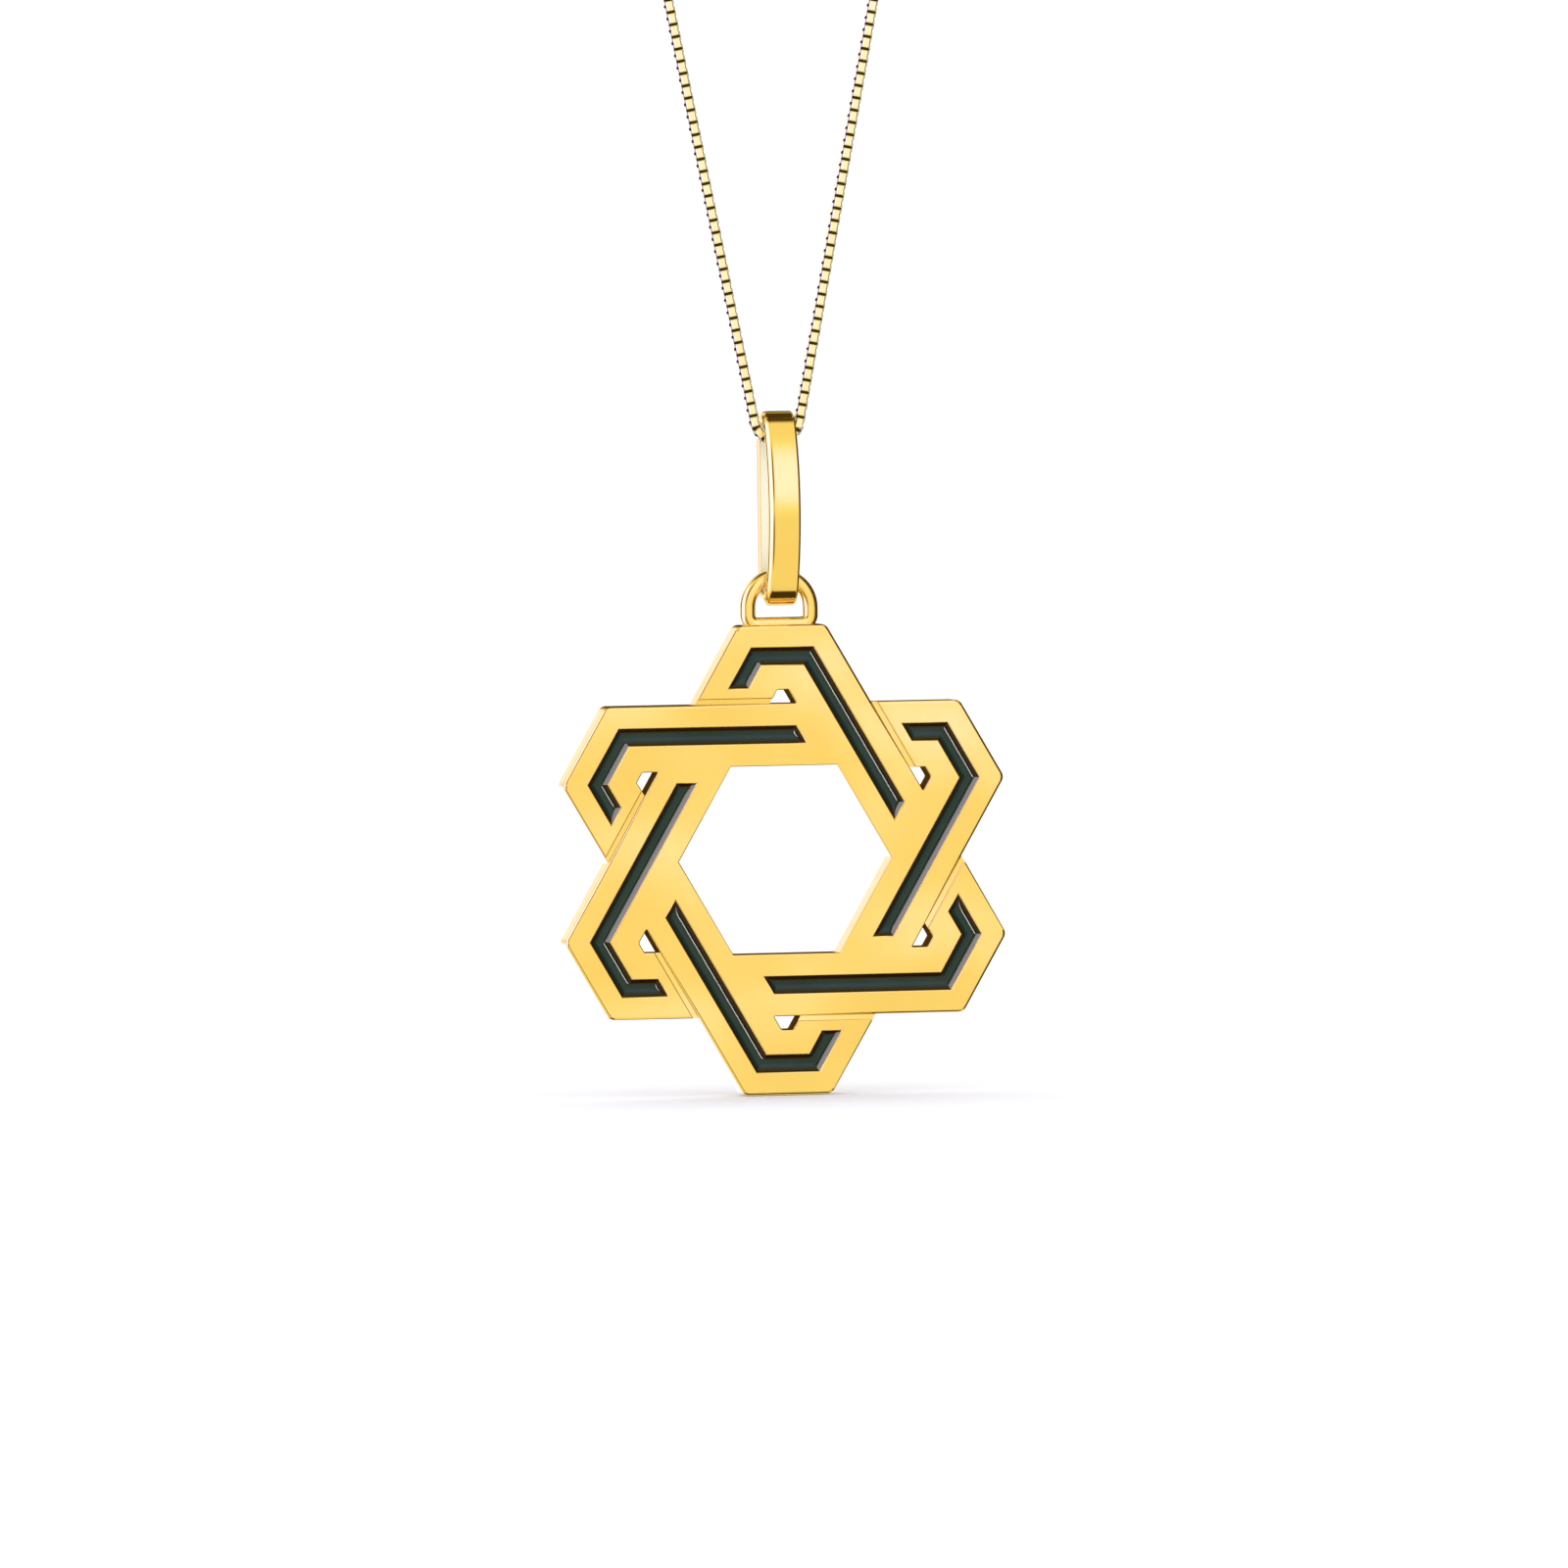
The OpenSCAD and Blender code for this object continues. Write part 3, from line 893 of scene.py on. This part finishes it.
def gold(name, light, deep, rough, wave, grain, wave_size=5.0, shade_colour=None, metallic=1.0):
    """Gold whose colour and gloss drift a little, with slow waves and a fine grain in its surface.
    Where the mesh's inside attribute says so, shade is painted on in another colour, without shine or
    metal."""
    material, tree, shader = new_material(name)
    shader.inputs["Metallic"].default_value = metallic
    tone = remap(tree, noise(tree, size=3.0), 0, 1)
    colour = blend_colours(tree, tone, light, deep)
    if shade_colour:
        # Painted shade: dark, without shine or metal, where the inside attribute says so
        inside = add_node(tree, "Attribute", attribute_name="inside").outputs["Fac"]
        colour = blend_colours(tree, inside, colour, shade_colour)
        tree.links.new(calc(tree, "SUBTRACT", 1.0, inside), shader.inputs["Metallic"])
        shader.inputs["Specular IOR Level"].default_value = 0.0
    tree.links.new(colour, shader.inputs["Base Color"])
    tree.links.new(remap(tree, noise(tree, size=0.6, detail=4), *rough), shader.inputs["Roughness"])
    slow = bump(tree, noise(tree, wave_size, detail=0.5, pattern=WAVE_PATTERN), wave)
    fine = bump(tree, noise(tree, size=0.05, detail=3), grain, slow)
    tree.links.new(fine, shader.inputs["Normal"])
    return material


def star_gold():
    """Satin, with broad waves, and brown shade painted on the walls of the small holes."""
    return gold(
        "star_gold",
        light=(1.0, 0.8, 0.38),
        deep=(1.0, 0.76, 0.32),
        rough=(0.16, 0.23),
        wave=0.55,
        grain=0.00002,
        wave_size=7.0,
        shade_colour=HOLE_SHADE_BROWN,
    )


def polished_gold():
    """The bail's outside, the clasp and the rings."""
    return gold(
        "polished_gold",
        light=(1.0, 0.79, 0.36),
        deep=(1.0, 0.76, 0.32),
        rough=(0.07, 0.12),
        wave=0.003,
        grain=0.00001,
    )


def chain_gold():
    """Polished gold painted pale cream for the highlights on the link plates, with shade painted dark
    inside the links.
    """
    return gold(
        "chain_gold",
        # A near-white gold: the painted highlight of the link plates
        light=(1.0, 0.97, 0.8),
        deep=(1.0, 0.92, 0.68),
        rough=(0.14, 0.22),
        wave=0.002,
        grain=0.00001,
        shade_colour=PAINTED_SHADE,
    )


def bail_inside_painted_highlight():
    """The bail's inside: pale, dull and hardly metallic, a painted highlight so that it looks cream in
    soft light.
    """
    return gold(
        "bail_inside_painted_highlight",
        # Near-white and dull: the painted highlight on the bail's inside
        light=(1.0, 1.0, 0.84),
        deep=(1.0, 0.98, 0.78),
        rough=(0.5, 0.6),
        wave=0.003,
        grain=0.00003,
        metallic=0.15,
    )


def enamel_slate():
    """Dark slate enamel, with brown-black shade painted along its rim."""
    material, tree, shader = new_material("enamel_slate")
    rim = add_node(tree, "Attribute", attribute_name="rim").outputs["Fac"]
    cloud = remap(tree, noise(tree, size=1.5, detail=3), 0, 1)
    slate = blend_colours(tree, cloud, *SLATE_TONES)
    # Brown-black shade painted near the rim, fading into the slate
    inner = remap(tree, rim, 0, 1, *ENAMEL_RIM_FADE)
    tree.links.new(blend_colours(tree, inner, ENAMEL_RIM_SHADE, slate), shader.inputs["Base Color"])
    tree.links.new(remap(tree, noise(tree, size=0.8), 0.05, 0.12), shader.inputs["Roughness"])
    tree.links.new(bump(tree, noise(tree, size=0.7), 0.006), shader.inputs["Normal"])
    shader.inputs["IOR"].default_value = 1.52
    shader.inputs["Specular IOR Level"].default_value = 0.3
    return material


def facing(tree, toward, aim, inner, outer):
    """1 inside a cone of directions and 0 outside it, with a soft edge between two angles."""
    aim = Vector(aim).normalized()
    near = add_node(tree, "VectorMath", {0: toward, 1: aim}, operation="DOT_PRODUCT").outputs["Value"]
    low, high = (math.cos(math.radians(angle)) for angle in (outer, inner))
    inputs = {"Value": near, "From Min": low, "From Max": high}
    return add_node(tree, "MapRange", inputs, interpolation_type="SMOOTHSTEP").outputs["Result"]


def surround_level(tree, toward):
    """How bright the surround is in a direction: even, dimmed by the flags, with the cards added."""
    level = FRONT_LEVEL
    for aim, inner, outer, dimming in FLAGS:
        shade = calc(tree, "MULTIPLY", facing(tree, toward, aim, inner, outer), dimming)
        level = calc(tree, "MULTIPLY", level, calc(tree, "SUBTRACT", 1.0, shade))
    for aim, inner, outer, gain in CARDS:
        glow = calc(tree, "MULTIPLY", facing(tree, toward, aim, inner, outer), gain)
        level = calc(tree, "ADD", level, glow)
    return level


def make_studio():
    """A soft surround for the gold to mirror, warmer where it is dimmer. The floor and the camera see
    plain white."""
    world = bpy.data.worlds.new("studio")
    bpy.context.scene.world = world
    world.use_nodes = True
    tree = world.node_tree
    tree.nodes.clear()
    level = surround_level(tree, add_node(tree, "TexCoord").outputs["Generated"])
    tint = blend_colours(tree, remap(tree, level, 0, 1, *DEEP_LEVELS), DEEP, WARM)
    tint = blend_colours(tree, remap(tree, level, 0, 1, *COOL_LEVELS), tint, COOL)
    shine = add_node(tree, "Background", {"Color": tint, "Strength": level})
    fill = add_node(tree, "Background", {"Color": (1, 1, 1, 1), "Strength": FLOOR_FILL})
    ray = add_node(tree, "LightPath")
    seen = calc(tree, "MAXIMUM", ray.outputs["Is Camera Ray"], ray.outputs["Is Diffuse Ray"])
    light = add_node(tree, "MixShader", {"Fac": seen, 1: shine.outputs[0], 2: fill.outputs[0]})
    add_node(tree, "OutputWorld", {"Surface": light.outputs[0]})


def direction(azimuth, elevation):
    """The way from the star to an azimuth, counted to the right from its face, and an elevation."""
    a, e = math.radians(azimuth), math.radians(elevation)
    return Vector((math.sin(a) * math.cos(e), -math.cos(a) * math.cos(e), math.sin(e)))


def area_lamp(name, width, height, power, at):
    """A rectangular lamp that is turned to the star."""
    data = bpy.data.lights.new(name, "AREA")
    data.shape = "RECTANGLE"
    data.size, data.size_y = width * MM, height * MM
    data.energy = power
    lamp = bpy.data.objects.new(name, data)
    bpy.context.scene.collection.objects.link(lamp)
    lamp.location = Vector(at) * MM
    to_star = Vector((0, 0, STAR_Z)) * MM - lamp.location
    lamp.rotation_euler = to_star.to_track_quat("-Z", "Y").to_euler()
    return lamp


def make_lamps(glazed):
    """A soft light high behind for the floor, which doesn't show in the metal, and strips that show
    only as streaks in the enamel."""
    at = (HIGH_LAMP_X, HIGH_LAMP_Y, STAR_Z + HIGH_LAMP_Z)
    lamp = area_lamp("high", *HIGH_LAMP_SIZE, HIGH_LAMP_POWER, at)
    lamp.visible_glossy = False
    for azimuth, elevation, width, height, level in STRIPS:
        power = level * math.pi * width * height * MM ** 2
        at = direction(azimuth, elevation) * STRIP_FAR + Vector((0, 0, STAR_Z))
        strip = area_lamp("strip", width, height, power, at)
        strip.visible_diffuse = False
        strip.light_linking.receiver_collection = glazed


def make_floor():
    """A plain pale floor just under the star, which doesn't show in the metal."""
    bpy.ops.mesh.primitive_grid_add(
        size=FLOOR_SIZE * MM, x_subdivisions=FLOOR_CELLS, y_subdivisions=FLOOR_CELLS
    )
    floor = bpy.context.object
    floor.name = "floor"
    floor.location.z = (star_low.z - FLOOR_GAP) * MM
    material, tree, shader = new_material("pale_floor")
    shade = remap(tree, noise(tree, size=40, detail=3), 0, 1)
    tree.links.new(blend_colours(tree, shade, *FLOOR_TONES), shader.inputs["Base Color"])
    shader.inputs["Roughness"].default_value = 0.9
    shader.inputs["Specular IOR Level"].default_value = 0.0
    floor.data.materials.append(material)
    floor.visible_glossy = False


def make_camera():
    data = bpy.data.cameras.new("camera")
    data.lens, data.sensor_width = LENS, SENSOR
    data.clip_start, data.clip_end = CLIP_NEAR * MM, CLIP_FAR * MM
    camera = bpy.data.objects.new("camera", data)
    bpy.context.scene.collection.objects.link(camera)
    back = direction(AZIMUTH, ELEVATION)
    aim = Vector((AIM_X, 0, STAR_Z + AIM_ABOVE_STAR))
    camera.location = (aim + back * FRAME_WIDTH * LENS / SENSOR) * MM
    turn = (-back).to_track_quat("-Z", "Y").to_matrix().to_4x4()
    camera.rotation_euler = (turn @ Matrix.Rotation(math.radians(ROLL), 4, "Z")).to_euler()
    bpy.context.scene.camera = camera


def main():
    bpy.context.scene.view_settings.view_transform = "Standard"
    make_camera()
    polished, pale = polished_gold(), chain_gold()
    make_star(star_gold())
    glazed = make_enamels(enamel_slate())
    make_bail(polished, bail_inside_painted_highlight())
    make_chain(pale)
    make_clasp(polished)
    make_rings(polished)
    make_end_links(pale)
    make_floor()
    make_studio()
    make_lamps(glazed)


main()
